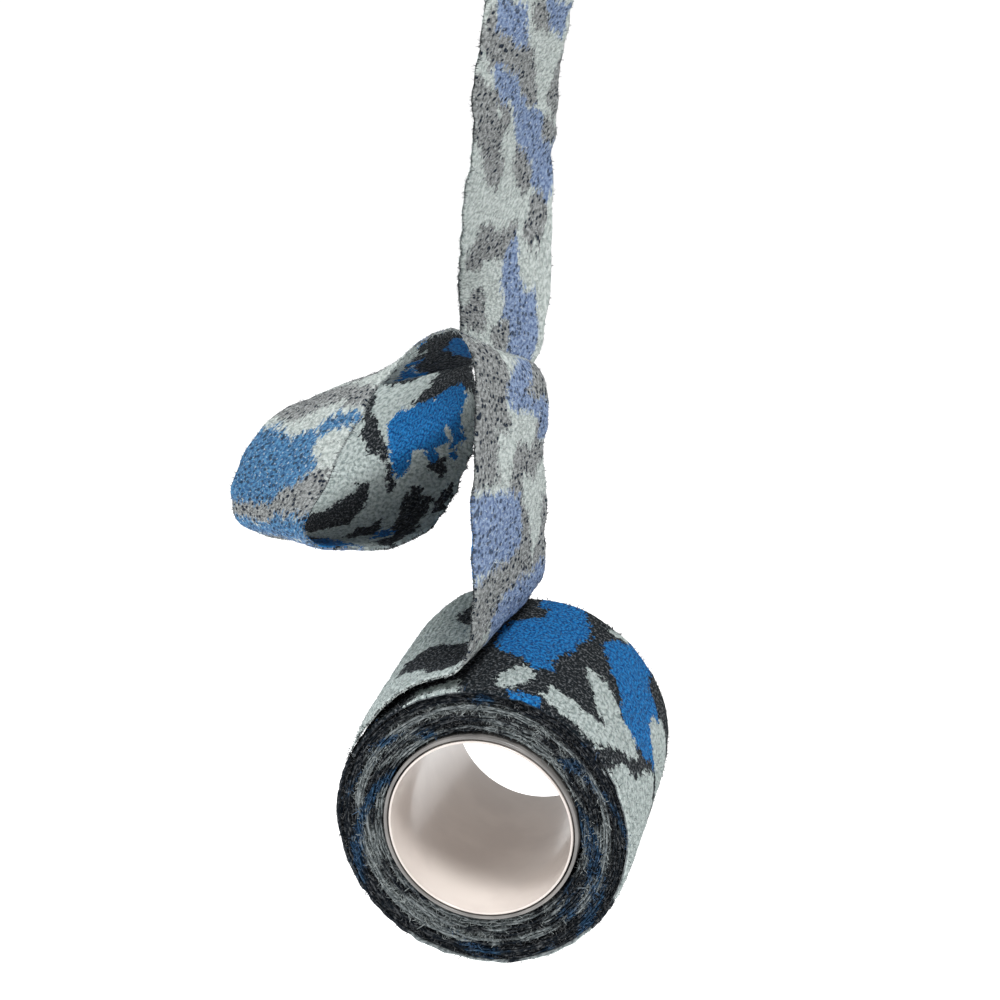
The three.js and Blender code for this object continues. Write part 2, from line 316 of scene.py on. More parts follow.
UPPER_TAIL = [
    ("blue", [(223, 19), (230, 21), (235, 18.3), (238.3, 15.6), (238.9, 9.4), (241.7, 6.1), (250, 3.9),
        (250, 1.1), (246.7, -2.8), (240.6, -3.9), (237.8, -1.1), (233.3, -1.7), (227.8, 4.4),
        (223, 10)]),
    ("charcoal", [(227.8, 3.9), (232.8, 3.3), (233.3, -1.1), (231.7, -3.3), (229.4, -7.2), (227.8, -3.9)]),
    ("charcoal", [(230, -12.8), (235, -12.8), (240.6, -16.1), (240, -18.9), (236.1, -20), (232.8, -26),
        (230, -26)]),
    ("charcoal", [(245.6, 17.8), (250, 20), (252.8, 20.6), (254.4, 17.8), (255, 12.2), (252.2, 11.7),
        (249.4, 9.4), (246.7, 12.8), (247.8, 15)]),
    ("charcoal", [(249.4, 2.8), (252.2, 3.9), (253.3, -1.7), (252.2, -6.1), (255.6, -8.3), (258.9, -11.7),
        (260, -15), (257.8, -18.3), (256.7, -22.2), (252.2, -21.7), (248.3, -16.7),
        (251.1, -13.9), (249.4, -9.4), (247.8, -2.8)]),
    ("charcoal", [(258.9, 11.1), (265, 10), (268.3, 7.2), (275, 0.6), (271.1, 0), (266.7, 1.7),
        (262.8, 3.9), (258.9, 7.8)]),
    ("charcoal", [(263.9, 26), (267.8, 24), (272.8, 17.8), (274.4, 14.4), (268.3, 15), (265, 20)]),
    ("charcoal", [(270, 26), (288.9, 26), (283.3, 20), (280, 17.8), (275.6, 18.9), (272.2, 21.7)]),
    ("charcoal", [(280.6, 10.6), (286.1, 7.8), (291.1, 7.2), (296.7, 3.3), (300, -1.1), (302.2, -8.3),
        (305.6, -13.9), (310, -22.2), (305.6, -26), (301.1, -18.3), (296.7, -10.6),
        (293.9, -3.9), (286.7, 0.6), (282.2, 5.6)]),
    ("charcoal", [(267.8, -8.3), (273.3, -6.7), (276.1, -9.4), (282.2, -9.4), (288.3, -13.3),
        (293.3, -16.1), (296.7, -21.1), (300, -26), (289, -26), (282.2, -19.4),
        (275.6, -16.1), (271.1, -13.3)]),
    ("charcoal", [(281.7, -6.1), (286.1, -5.6), (290.6, -10.6), (294.4, -15), (292.8, -16.1),
        (288.3, -10.6), (283.3, -8.3)]),
    ("blue", [(252.8, 21.7), (256.7, 26), (262, 26), (264.4, 20.6), (268.3, 15), (274.4, 14.4),
        (280.6, 8.9), (281.7, 5), (286.7, 0), (293.3, -3.9), (296.7, -10.6), (300, -16.1),
        (298.9, -17.2), (291.7, -12.8), (288.3, -6.1), (283.3, -1.7), (275, 0.6), (268.3, 7.8),
        (265, 11.1), (260.6, 11.7), (256.7, 13.9), (255, 17.8)]),
    ("blue", [(300, -0.6), (303.3, -3.9), (308.3, -6.1), (310.6, -13.9), (313, -20.6), (307.8, -19.4),
        (304.4, -12.8), (302.2, -7.2)]),
    ("blue", [(294.4, 21.7), (302.2, 23), (305.6, 13.9), (307.8, 5.6), (303.3, 10.6), (298.9, 15.6)]),
    ("charcoal", [(298.9, 13.3), (301.7, 12.2), (307.8, 4.4), (308.3, -1.1), (303.3, 1.7), (301.7, 8.3)]),
    ("charcoal", [(309, 26), (314, 20), (313, 8), (317, -2), (321, 4), (319, 16), (324, 26)]),
    ("blue", [(313, -8), (318, -4), (324, -10), (324, -20), (316, -18)]),
]

LIFTED_TURN = [
    ("charcoal", [(13, -6), (22, -5.5), (27, -9), (33, -14), (33, -22), (24, -21), (20, -16), (13, -11)]),
    ("charcoal", [(20, 8), (27, 2), (30, 10), (28, 22), (22, 18)]),
]

# On the roll, s is the distance round it from the +X side and charcoal is the ground.
ROLL_PRINT = [
    ("charcoal", [(-15, 27), (75, 27), (75, -27), (-19, -27), (-24, -18), (-16, -9), (-22, 1), (-27, 9),
        (-18, 17)]),
    ("mint", [(-6, 21), (5, 17.5), (8.3, 13), (10.3, 9), (9, 5), (2.4, 3.3), (-5, 6), (-10, 4), (-13, 9),
        (-8, 13), (-11, 18)]),
    ("mint", [(-7, 1), (1.5, 2), (3.4, -2.5), (5.9, -8.3), (7.3, -14.2), (12.7, -18.3), (15, -26),
        (-12, -26), (-15, -19), (-9, -13), (-13, -6)]),
    ("mint", [(19.5, 26), (27, 26), (26.4, 21.5), (23.5, 22.5), (20.5, 24)]),
    ("blue", [(15.6, 26), (20.5, 25), (24.4, 20), (26.9, 15.8), (26.4, 10.8), (23.2, 5.8), (19.5, 2.5),
        (18.3, -2.5), (15.9, -5.8), (11, -5.8), (7.3, -3.3), (3.9, 0.8), (2.4, 3.3), (8.6, 5),
        (10.3, 9.2), (8.6, 12.5), (7.3, 15), (12.2, 16.7), (13.7, 17.5), (14, 22)]),
    ("blue", [(33, 26), (42, 26), (42.5, 20), (39.6, 18.3), (40.3, 14.2), (42.8, 11.7), (45.5, 10),
        (46.7, 5.8), (46.9, -0.8), (44, -5.8), (40.3, -8.3), (37.1, -10.8), (33, -9.2),
        (33.6, -7.5), (34.8, -4.2), (33, 0), (31.2, 4.2), (31.8, 8.3), (29.9, 11.7), (29.9, 15.8),
        (32, 20)]),
    ("mint", [(24.4, 0.8), (27.4, 0), (26.9, -3.3), (23, -11), (20.5, -15.5), (25.4, -16.5), (32.3, -15),
        (33.2, -21), (26.9, -23.5), (20, -24), (17.1, -19.2), (12.2, -13.3), (9.3, -8.3),
        (11, -5.8), (17.1, -5.8), (20.8, -1.7)]),
    ("mint", [(36.7, -10.8), (39.6, -11.7), (42, -16.7), (42, -20.8), (39.1, -22.5), (36.7, -18.3),
        (36.2, -14.2)]),
    ("blue", [(32.7, -22.5), (39.1, -22.9), (38.6, -26), (32.3, -26)]),
    ("mint", [(48.9, -20.5), (56.7, -21), (60, -26), (48, -26)]),
    ("mint", [(57, 26), (57, -10), (66, -17), (73, -16), (81, -20), (90, -22), (98, -15), (95, -7),
        (104, -1), (99, 7), (106, 14), (97, 19), (101, 26)]),
]


def distance_inside(x, y, corners):
    """Distance to a polygon's outline, positive inside it."""
    corners = np.asarray(corners, float)
    inside = np.zeros(x.shape, bool)
    nearest = np.full(x.shape, 1e9)
    for (ax, ay), (bx, by) in zip(corners, np.roll(corners, -1, axis=0)):
        length = max((bx - ax) ** 2 + (by - ay) ** 2, 1e-9)
        t = np.clip(((x - ax) * (bx - ax) + (y - ay) * (by - ay)) / length, 0, 1)
        gap = np.hypot(x - ax - t * (bx - ax), y - ay - t * (by - ay))
        nearest = np.minimum(nearest, gap)
        crosses = (ay > y) != (by > y)
        slope = (bx - ax) / (by - ay) if by != ay else 0.0
        inside ^= crosses & (x < ax + (y - ay) * slope)
    return np.where(inside, nearest, -nearest)


def camouflage(s, v, seed):
    """Blue and charcoal patches for the cloth that no listed patch covers."""
    lean = s + 0.5 * v
    blue = 9 * (noise(lean / 17, v / 15, seed) - 0.28) + 2 * noise(s / 3, v / 3, seed + 1)
    charcoal = 9 * (noise(lean / 13, v / 12, seed + 2) - 0.12) + 2 * noise(s / 2.5, v / 2.5, seed + 3)
    return blue, np.minimum(charcoal, -blue + 1)


def print_fields(s, v, patches, blue, charcoal):
    """Draws the patches over the two fields; a field is above 0 where its colour shows."""
    x = s + 0.5 * noise(s / 2.4, v / 2.4, 21)
    y = v + 0.5 * noise(s / 2.4, v / 2.4, 22)
    for colour, corners in patches:
        inside = distance_inside(x, y, corners)
        if colour == "blue":
            blue = np.maximum(blue, inside)
        elif colour == "charcoal":
            blue = np.minimum(blue, -inside)
            charcoal = np.maximum(charcoal, inside + 0.5)
        else:
            blue = np.minimum(blue, -inside)
            charcoal = np.minimum(charcoal, -inside)
    return blue, charcoal


def clear_of_patches(s, spans):
    """How far s lies outside the spans that are drawn from listed patches, negative inside."""
    gaps = [np.maximum(low - s, s - high) for low, high in spans]
    return np.minimum.reduce(gaps)


DRAWN_SPANS = ((-1, 88), (104, 153), (163, 224), (225, 324))
TAIL_PATCHES = LIFTED_TURN + LOWER_TAIL + CURL_CREST + CURL_OUTSIDE + CURL_INSIDE + UPPER_TAIL


def tail_print(s, v):
    blue, charcoal = camouflage(s, v, 31)
    room = clear_of_patches(s, DRAWN_SPANS)
    blue, charcoal = np.minimum(blue, room), np.minimum(charcoal, room)
    return print_fields(s, v, TAIL_PATCHES, blue, charcoal)


def roll_print(s, v):
    """The print of the roll's outer turn, s round it from the +X side."""
    blue, charcoal = camouflage(s, v, 41)
    room = clear_of_patches(s, ((-17, 100),)) + 9 * noise(v / 7, s / 20, 43)
    blue, charcoal = np.minimum(blue, room), np.minimum(charcoal, room)
    return print_fields(s, v, ROLL_PRINT, blue, charcoal)


# ---- Meshes ----

def make_mesh(name, points, faces, materials, face_material=None, flat_faces=None, fields=None):
    """A mesh object from points in millimetres and faces with equal numbers of corners."""
    faces = np.asarray(faces, np.int32)
    mesh = bpy.data.meshes.new(name)
    mesh.vertices.add(len(points))
    mesh.vertices.foreach_set("co", to_frame(points).astype(np.float32).ravel())
    mesh.loops.add(faces.size)
    mesh.loops.foreach_set("vertex_index", faces.ravel())
    mesh.polygons.add(len(faces))
    mesh.polygons.foreach_set("loop_start", np.arange(0, faces.size, faces.shape[1], dtype=np.int32))
    mesh.update(calc_edges=True)
    mesh.validate()
    for material in materials:
        mesh.materials.append(material)
    if face_material is not None:
        mesh.polygons.foreach_set("material_index", np.asarray(face_material, np.int32))
    mesh.shade_smooth()
    if flat_faces is not None:
        sharp = mesh.attributes.get("sharp_face") or mesh.attributes.new("sharp_face", "BOOLEAN", "FACE")
        sharp.data.foreach_set("value", np.asarray(flat_faces, bool))
    for field, values in (fields or {}).items():
        values = np.asarray(values, np.float32)
        kind, key = ("FLOAT_VECTOR", "vector") if values.ndim == 2 else ("FLOAT", "value")
        attribute = mesh.attributes.new(field, kind, "POINT")
        attribute.data.foreach_set(key, values.ravel())
    item = bpy.data.objects.new(name, mesh)
    bpy.context.scene.collection.objects.link(item)
    return item


def cloth_fields(s, v, print_of):
    """The attributes that the cloth's materials read; ink is how far blue soaks through to the back."""
    blue, charcoal = print_of(s, v)
    soaked = np.clip((s - 100) / 10, 0, 1) * np.clip((158 - s) / 8, 0, 1)
    return {
        "cloth": np.stack([s, v, np.zeros_like(s)], axis=-1).reshape(-1, 3),
        "blue": blue.ravel(),
        "charcoal": charcoal.ravel(),
        "ink": (0.12 + 0.78 * soaked).ravel(),
    }


def closed_sheet(name, front, back, fields, materials, side_material=1):
    """A closed sheet between two grids of points, front and back; its ends are flat caps."""
    rows, columns = front.shape[:2]
    count = rows * columns
    index = np.arange(count).reshape(rows, columns)
    a, b, c, d = index[:-1, :-1], index[1:, :-1], index[1:, 1:], index[:-1, 1:]
    top = np.stack([a, b, c, d], axis=-1).reshape(-1, 4)
    bottom = np.stack([a, d, c, b], axis=-1).reshape(-1, 4) + count
    walls = []
    for edge in (index[:, 0], index[::-1, -1], index[0, ::-1], index[-1]):
        walls.append(np.stack([edge[:-1], edge[:-1] + count, edge[1:] + count, edge[1:]], axis=-1))
    faces = np.vstack([top, bottom, *walls])
    sides = 2 * (rows - 1)
    ends = 2 * (columns - 1)
    face_material = np.concatenate([np.zeros(len(top)), np.ones(len(bottom)),
                                    np.full(sides + ends, side_material)])
    flat_faces = np.concatenate([np.zeros(len(faces) - ends, bool), np.ones(ends, bool)])
    points = np.vstack([front.reshape(-1, 3), back.reshape(-1, 3)])
    doubled = {key: np.concatenate([values, values]) for key, values in fields.items()}
    return make_mesh(name, points, faces, materials, face_material, flat_faces, doubled)


def half_thickness(v, thickness):
    """Half the cloth's thickness, drawn in to a rounded selvedge."""
    inset = np.clip((np.abs(v) - (HALF - SELVEDGE)) / SELVEDGE, 0, 1)
    return thickness / 2 * np.sqrt(np.clip(1 - 0.93 * inset**2, 0, 1))


def across():
    """Places across the cloth, closer together at the selvedges."""
    reach = HALF - SELVEDGE
    inner = np.linspace(-reach, reach, round(2 * reach / GRID) + 1)
    return np.concatenate([[-HALF, -HALF + 0.12, -HALF + 0.27], inner, [HALF - 0.27, HALF - 0.12, HALF]])


def tail_piece(name, start, end):
    """The tail from one s to another, both sides, with its fuzz as a second object."""
    s = np.linspace(start, end, round((end - start) / GRID) + 1)
    v = across()
    points, normal, s_grid, v_grid = tail_surface(s, v)
    thick = half_thickness(v_grid, TAIL_THICKNESS)
    # The strip starts thin, and its back is smooth as far as it lies on the roll.
    feathered = np.clip(s_grid / 7, 0.1, 1)
    lifted = np.clip((s_grid - 20) / 10, 0, 1)
    relief = rib_relief(s_grid, v_grid, 51)
    pale_relief = 0.6 * lifted * rib_relief(s_grid, v_grid, 61)
    printed = points + normal * (feathered * (thick + relief))[..., None]
    pale = points - normal * (feathered * thick + pale_relief)[..., None]
    fields = cloth_fields(s_grid, v_grid, tail_print)
    cloth = closed_sheet(name, printed, pale, fields, [PRINTED, PALE])
    fuzz = tail_fuzz(name + "_fuzz", start, end)
    return cloth, fuzz


# ---- Fuzz: short tapered fibres that stand off the cloth ----

FIBRE_SIDES = 3
FIBRE_RINGS = 3
PAINTED_LIT_LIP = (84, 165)      # from here to here the near selvedge's fibres are painted paler, a painted highlight for the light that shines through the fuzz


def fibres(name, roots, directions, lengths, radius, seed, fields, material):
    """Bent, tapered three-sided fibres from the roots, all one mesh."""
    random = np.random.default_rng(seed)
    count = len(roots)
    directions = directions / np.linalg.norm(directions, axis=1)[:, None]
    helper = np.where(np.abs(directions[:, 2:]) < 0.8, [[0, 0, 1]], [[1, 0, 0]])
    side = np.cross(directions, helper)
    side /= np.linalg.norm(side, axis=1)[:, None]
    other = np.cross(directions, side)
    bend = random.normal(0, 0.45, (count, 2))
    points = np.empty((count, FIBRE_RINGS, FIBRE_SIDES, 3))
    for ring, share in enumerate(np.linspace(0, 1, FIBRE_RINGS)):
        reach = lengths * share
        centre = roots + directions * reach[:, None]
        centre = centre + (side * bend[:, :1] + other * bend[:, 1:]) * (lengths * share**2)[:, None]
        width = np.broadcast_to(radius * (1 - 0.7 * share), (count,))[:, None]
        for corner in range(FIBRE_SIDES):
            angle = math.tau * corner / FIBRE_SIDES
            points[:, ring, corner] = centre + width * (side * math.cos(angle) + other * math.sin(angle))
    block = FIBRE_RINGS * FIBRE_SIDES
    faces = []
    for ring in range(FIBRE_RINGS - 1):
        for corner in range(FIBRE_SIDES):
            a = ring * FIBRE_SIDES + corner
            b = ring * FIBRE_SIDES + (corner + 1) % FIBRE_SIDES
            faces += [(a, b, b + FIBRE_SIDES), (a, b + FIBRE_SIDES, a + FIBRE_SIDES)]
    tip = block - FIBRE_SIDES
    faces += [(0, 2, 1), (tip, tip + 1, tip + 2)]
    faces = (np.arange(count)[:, None, None] * block + np.array(faces)[None]).reshape(-1, 3)
    spread = {key: np.repeat(values, block, axis=0) for key, values in fields.items()}
    return make_mesh(name, points.reshape(-1, 3), faces, [material], fields=spread)


def tail_fuzz(name, start, end):
    """Fibres along both selvedges and a thinner scatter over both faces of a length of tail."""
    random = np.random.default_rng(round(start * 10))
    length = end - start
    edge_count = round(length * 7)
    face_count = round(length * WIDTH * 0.75)
    s = random.uniform(start + 0.2, end - 0.2, 2 * edge_count + face_count)
    edge_v = np.repeat([-HALF, HALF], edge_count)
    v = np.concatenate([edge_v, random.uniform(-HALF + 0.3, HALF - 0.3, face_count)])
    order = np.argsort(s)
    s, v = s[order], v[order]
    on_edge = np.abs(v) > HALF - 0.01
    ruling_there = along_curve(far_curve, s) - along_curve(near_curve, s)
    grid_s = np.linspace(start, end, round(length / GRID) + 1)
    grid_v = across()
    points, normal, _, _ = tail_surface(grid_s, grid_v)
    rows = np.clip(np.round((s - start) / GRID).astype(int), 0, len(grid_s) - 1)
    columns = np.clip(np.searchsorted(grid_v, v), 0, len(grid_v) - 1)
    root, normal = points[rows, columns], normal[rows, columns]
    s, v = grid_s[rows], grid_v[columns]
    outward = ruling_there / WIDTH * np.sign(v)[:, None]
    along = np.cross(normal, outward)
    side = random.choice([-1.0, 1.0], len(s))
    side = np.where(s < S_AT["peel_in"], 1.0, side)
    tilt = random.normal(0, 0.6, (len(s), 2))
    lean = outward * tilt[:, :1] + along * tilt[:, 1:]
    from_face = normal * side[:, None] + lean
    from_edge = outward + normal * tilt[:, :1] + along * tilt[:, 1:]
    directions = np.where(on_edge[:, None], from_edge, from_face)
    root = np.where(on_edge[:, None], root, root + normal * (side * (TAIL_THICKNESS / 2 - 0.05))[:, None])
    lengths = np.where(on_edge, random.uniform(0.3, 0.8, len(s)), random.uniform(0.3, 0.55, len(s)))
    lengths = lengths * np.where(random.uniform(0, 1, len(s)) > 0.985, 2.0, 1)
    radii = np.where(on_edge, 0.10, 0.065)
    fields = cloth_fields(s, v, tail_print)
    # Painted highlight: over the lip span the near-selvedge fibres get mostly mint instead of charcoal,
    # standing in for light shining through them.
    painted_lit_lip = (v < 0) & (s > PAINTED_LIT_LIP[0]) & (s < PAINTED_LIT_LIP[1])
    selvedge = np.where(painted_lit_lip, random.uniform(-4, 0.8, len(s)), random.uniform(-0.8, 3, len(s)))
    fields["blue"] = np.where(on_edge, -3, fields["blue"])
    fields["charcoal"] = np.where(on_edge, selvedge, fields["charcoal"])
    return fibres(name, root, directions, lengths, radii, 71, fields, FUZZ)


# ---- Shader helpers ----

class Graph:
    """A material's node graph, with one method per kind of node that is used."""

    def __init__(self, name, roughness, specular=0.08, sheen=0.0):
        self.material = bpy.data.materials.new(name)
        self.material.use_nodes = True
        self.tree = self.material.node_tree
        self.surface = self.tree.nodes["Principled BSDF"]
        self.surface.inputs["Roughness"].default_value = roughness
        self.surface.inputs["Specular IOR Level"].default_value = specular
        self.surface.inputs["Sheen Weight"].default_value = sheen

    def add(self, kind, inputs=(), **settings):
        node = self.tree.nodes.new(kind)
        for key, value in settings.items():
            setattr(node, key, value)
        for key, value in dict(inputs).items():
            self.put(value, node.inputs[key])
        return node

    def put(self, value, socket):
        if isinstance(value, bpy.types.NodeSocket):
            self.tree.links.new(value, socket)
        else:
            socket.default_value = value

    def attribute(self, name):
        node = self.add("ShaderNodeAttribute", attribute_name=name)
        return node.outputs["Vector" if name == "cloth" else "Fac"]

    def math(self, operation, a, b=0.0):
        return self.add("ShaderNodeMath", {0: a, 1: b}, operation=operation).outputs[0]

    def scaled(self, vector, x, y, z=1.0):
        node = self.add("ShaderNodeVectorMath", {0: vector, 1: (x, y, z)}, operation="MULTIPLY")
        return node.outputs[0]

    def noise(self, vector, scale=1.0, detail=2.0):
        inputs = {"Vector": vector, "Scale": scale, "Detail": detail}
        return self.add("ShaderNodeTexNoise", inputs).outputs["Fac"]

    def ramp(self, value, low, high, to_low=0.0, to_high=1.0):
        inputs = {0: value, 1: low, 2: high, 3: to_low, 4: to_high}
        return self.add("ShaderNodeMapRange", inputs, interpolation_type="SMOOTHSTEP").outputs[0]

    def split(self, vector, axis):
        return self.add("ShaderNodeSeparateXYZ", {0: vector}).outputs[axis]

    def mix(self, factor, a, b):
        """Between two colours, each three numbers or a socket."""
        a, b = (colour if isinstance(colour, bpy.types.NodeSocket) else (*colour, 1) for colour in (a, b))
        return self.add("ShaderNodeMix", {0: factor, 6: a, 7: b}, data_type="RGBA").outputs[2]

    def shade(self, value, low, high, dark, light):
        return self.mix(self.ramp(value, low, high), dark, light)

    def bump(self, height, distance):
        inputs = {"Height": height, "Distance": distance, "Strength": 1.0}
        self.put(self.add("ShaderNodeBump", inputs).outputs[0], self.surface.inputs["Normal"])

    def colour(self, value):
        self.put(value, self.surface.inputs["Base Color"])


def print_masks(graph, cloth, jag, bleed=0.0, soft=0.22):
    """Where blue and charcoal show, their borders broken up stitch by stitch and moved out by bleed."""
    stitch = graph.add("ShaderNodeTexVoronoi", {"Vector": graph.scaled(cloth, 0.85, 0.85), "Scale": 1.0})
    step = graph.math("SUBTRACT", graph.split(stitch.outputs["Color"], 0), 0.5)
    fine = graph.math("SUBTRACT", graph.noise(graph.scaled(cloth, 2.6, 1.6)), 0.5)
    shift = graph.math("MULTIPLY", graph.math("ADD", graph.math("MULTIPLY", step, 0.7), fine), jag)
    masks = []
    for name in ("blue", "charcoal"):
        value = graph.math("ADD", graph.math("ADD", graph.attribute(name), bleed), shift)
        masks.append(graph.ramp(value, -soft, soft))
    return masks


def printed_material():
    """The face that carries the print: saturated, crepe-ribbed, with a short nap."""
    graph = Graph("wrap_printed_face", 0.92, sheen=0.03)
    cloth = graph.attribute("cloth")
    blue, charcoal = print_masks(graph, cloth, 2.2)
    nap = graph.noise(graph.scaled(cloth, 1.2, 0.9), detail=4.0)
    flecks = graph.noise(graph.scaled(cloth, 1.7, 1.5), detail=3.0)
    mint = graph.shade(nap, 0.36, 0.60, (0.29, 0.35, 0.34), (0.58, 0.65, 0.635))
    dark = graph.shade(flecks, 0.50, 0.64, (0.004, 0.008, 0.011), (0.13, 0.14, 0.15))
    vivid = graph.shade(flecks, 0.36, 0.64, (0.001, 0.060, 0.23), (0.020, 0.24, 0.60))
    colour = graph.mix(charcoal, mint, dark)
    graph.colour(graph.mix(blue, colour, vivid))
    along = graph.math("MULTIPLY", graph.split(cloth, 0), 4.19)
    ribs = graph.math("SINE", graph.math("ADD", along, graph.math("MULTIPLY", nap, 3.0)))
    height = graph.math("ADD", graph.math("MULTIPLY", ribs, 0.25), graph.math("MULTIPLY", flecks, 2.2))
    graph.bump(height, 0.0006)
    return graph.material


def pale_material():
    """The back of the cloth: the same print washed out, with the knit's dark gaps in columns."""
    graph = Graph("wrap_pale_face", 0.95, sheen=0.03)
    cloth = graph.attribute("cloth")
    blue, charcoal = print_masks(graph, cloth, 3.0, 0.5, 0.7)
    ink = graph.attribute("ink")
    yarn = graph.noise(graph.scaled(cloth, 1.4, 0.7), detail=4.0)
    flecks = graph.noise(graph.scaled(cloth, 2.0, 0.9), detail=2.0)
    fade = graph.ramp(yarn, 0.38, 0.62)
    mint = graph.mix(fade, (0.35, 0.40, 0.385), (0.58, 0.63, 0.61))
    grey = graph.mix(fade, (0.13, 0.14, 0.14), (0.32, 0.335, 0.335))
    washed = graph.mix(fade, (0.12, 0.17, 0.30), (0.28, 0.36, 0.53))
    soaked = graph.mix(fade, (0.012, 0.080, 0.20), (0.060, 0.22, 0.41))
    colour = graph.mix(blue, graph.mix(charcoal, mint, grey), graph.mix(ink, washed, soaked))
    colour = graph.mix(graph.ramp(flecks, 0.58, 0.72, 0.0, 0.6), colour, (0.66, 0.71, 0.72))
    cell_inputs = {"Vector": graph.scaled(cloth, 1.0, 0.47), "Scale": 1.0, "Randomness": 0.7}
    cells = graph.add("ShaderNodeTexVoronoi", cell_inputs)
    worn = graph.noise(graph.scaled(cloth, 0.5, 0.5))
    reach = graph.ramp(worn, 0.35, 0.65, 0.24, 0.46)
    gap = graph.ramp(graph.math("SUBTRACT", cells.outputs["Distance"], reach), -0.10, 0.04, 1.0, 0.0)
    inked = graph.math("MAXIMUM", charcoal, graph.math("MULTIPLY", blue, 0.72))
    inked = graph.math("MULTIPLY", gap, graph.math("MAXIMUM", inked, 0.10))
    graph.colour(graph.mix(inked, colour, (0.010, 0.018, 0.032)))
    height = graph.math("SUBTRACT", graph.math("MULTIPLY", flecks, 1.6), graph.math("MULTIPLY", gap, 0.8))
    graph.bump(height, 0.0005)
    return graph.material


def fuzz_material():
    """Loose fibres, in the colours of the cloth that they stand on."""
    graph = Graph("wrap_fibre", 0.9, sheen=0.05)
    cloth = graph.attribute("cloth")
    blue, charcoal = print_masks(graph, cloth, 2.4, 0.0, 0.8)
    tone = graph.noise(graph.scaled(cloth, 1.6, 1.6))
    mint = graph.shade(tone, 0.40, 0.60, (0.15, 0.175, 0.18), (0.41, 0.445, 0.44))
    dark = graph.shade(tone, 0.44, 0.66, (0.008, 0.011, 0.015), (0.14, 0.145, 0.15))
    vivid = graph.shade(tone, 0.40, 0.60, (0.010, 0.045, 0.12), (0.09, 0.17, 0.29))
    graph.colour(graph.mix(blue, graph.mix(charcoal, mint, dark), vivid))
    return graph.material


def edge_material():
    """The wound turns seen on edge: fuzzy layers in charcoal, grey and navy."""
    graph = Graph("wound_edge_cloth", 0.95)
    cloth = graph.attribute("cloth")
    blue, charcoal = print_masks(graph, cloth, 2.4, 0.0, 1.4)
    tone = graph.noise(graph.scaled(cloth, 1.1, 1.8), detail=4.0)
    mint = graph.shade(tone, 0.38, 0.62, (0.09, 0.105, 0.11), (0.25, 0.275, 0.28))
    dark = graph.shade(tone, 0.45, 0.70, (0.006, 0.009, 0.013), (0.085, 0.09, 0.095))
    navy = graph.shade(tone, 0.38, 0.66, (0.006, 0.022, 0.050), (0.040, 0.095, 0.17))
    graph.colour(graph.mix(blue, graph.mix(charcoal, mint, dark), navy))
    graph.bump(tone, 0.0006)
    return graph.material


def plastic_material(name, low, high, roughness, scale):
    """Smooth moulded tube, very slightly mottled, with a thin clear coat."""
    graph = Graph(name, roughness, 0.5)
    place = graph.add("ShaderNodeTexCoord").outputs["Object"]
    tone = graph.noise(place, scale, 3.0)
    graph.colour(graph.shade(tone, 0.35, 0.65, low, high))
    graph.bump(graph.noise(place, scale * 3, 2.0), 0.00004)
    graph.surface.inputs["Coat Weight"].default_value = 0.4
    graph.surface.inputs["Coat Roughness"].default_value = 0.15
    return graph.material


PRINTED = printed_material()
PALE = pale_material()
FUZZ = fuzz_material()
EDGE = edge_material()
LINER = plastic_material("liner_plastic", (0.63, 0.57, 0.53), (0.69, 0.63, 0.585), 0.25, 90.0)
TUBE = plastic_material("core_plastic", (0.13, 0.125, 0.12), (0.21, 0.20, 0.19), 0.35, 160.0)
ADHESIVE = plastic_material("start_tape_paper", (0.62, 0.58, 0.47), (0.72, 0.68, 0.57), 0.55, 240.0)


# ---- The tail, in five lengths that meet where it bends ----

PAYOUT_TOP = S_AT["lower_top"] - 0.2 * (S_AT["lower_top"] - S_AT["lower_middle"])


def blend_between(piece, a, b, direction, start, end):
    """Bakes the piece's transform into its mesh; the bodies a and b, the direction and the two distances
    are not used for anything.
    """
    direction = np.array(direction) / np.linalg.norm(direction)
    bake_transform(piece)


def tail_in_lengths():
    """The tail's lengths, each with the nodes that it stands for and the bodies and span listed for its
    bend; a length with a bend is only baked in place, one without is put on the curl's body.
    """
    lengths = (
        ("wrap_peel", PAYOUT_TOP, ("payout_strip", "lifted_turn"),
         ("lower_tail", "peel_front", (0, -0.12, -0.993), -59.5, -35.8)),
        ("wrap_lower_tail", S_AT["crest_rise"], ("lower_tail",),
         ("curl", "lower_tail", (0, -0.25, -0.968), -78.5, -61.4)),
        ("wrap_curl", S_AT["back"], ("curl_back", "curl_front"), None),
        ("wrap_middle_tail", S_AT["upper_middle"], ("tail_middle",),
         ("tail_middle", "curl", (0, 0.25, -0.968), -117, -86)),
        ("wrap_top_tail", TAIL_LENGTH, ("held_end", "tail_upper"),
         ("held_tail", "tail_middle", (0, 0.2, -0.98), -146, -121)),
    )
    start = 0
    for name, end, nodes, bend in lengths:
        cloth, fuzz = tail_piece(name, start, end)
        for piece in (cloth, fuzz):
            if bend:
                blend_between(piece, *bend)
            else:
                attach(piece, "curl")
        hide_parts(*nodes)
        start = end


# ---- The roll ----

LIFT_ANGLE = math.radians(LIFT_DEGREES)
OUTER_SPAN = math.radians(358.5)
COVERED = (math.radians(85), math.radians(160))   # the lifted strip lies over the roll here
PASSES_UNDER = (LIFT_ANGLE, math.radians(212))    # this turns under the strip as it pays out
FUZZ_SEAM = math.radians(250)                     # past this, the fuzz counts its angle from below 0


def out_of_round(angle):
    """How far the soft roll sags outwards at an angle, in millimetres."""
    return 0.5 * np.clip(np.cos(angle + math.radians(38)), 0, 1) ** 2


def ring_point(angle, radius, y):
    return np.stack([radius * np.cos(angle), y, radius * np.sin(angle)], axis=-1)


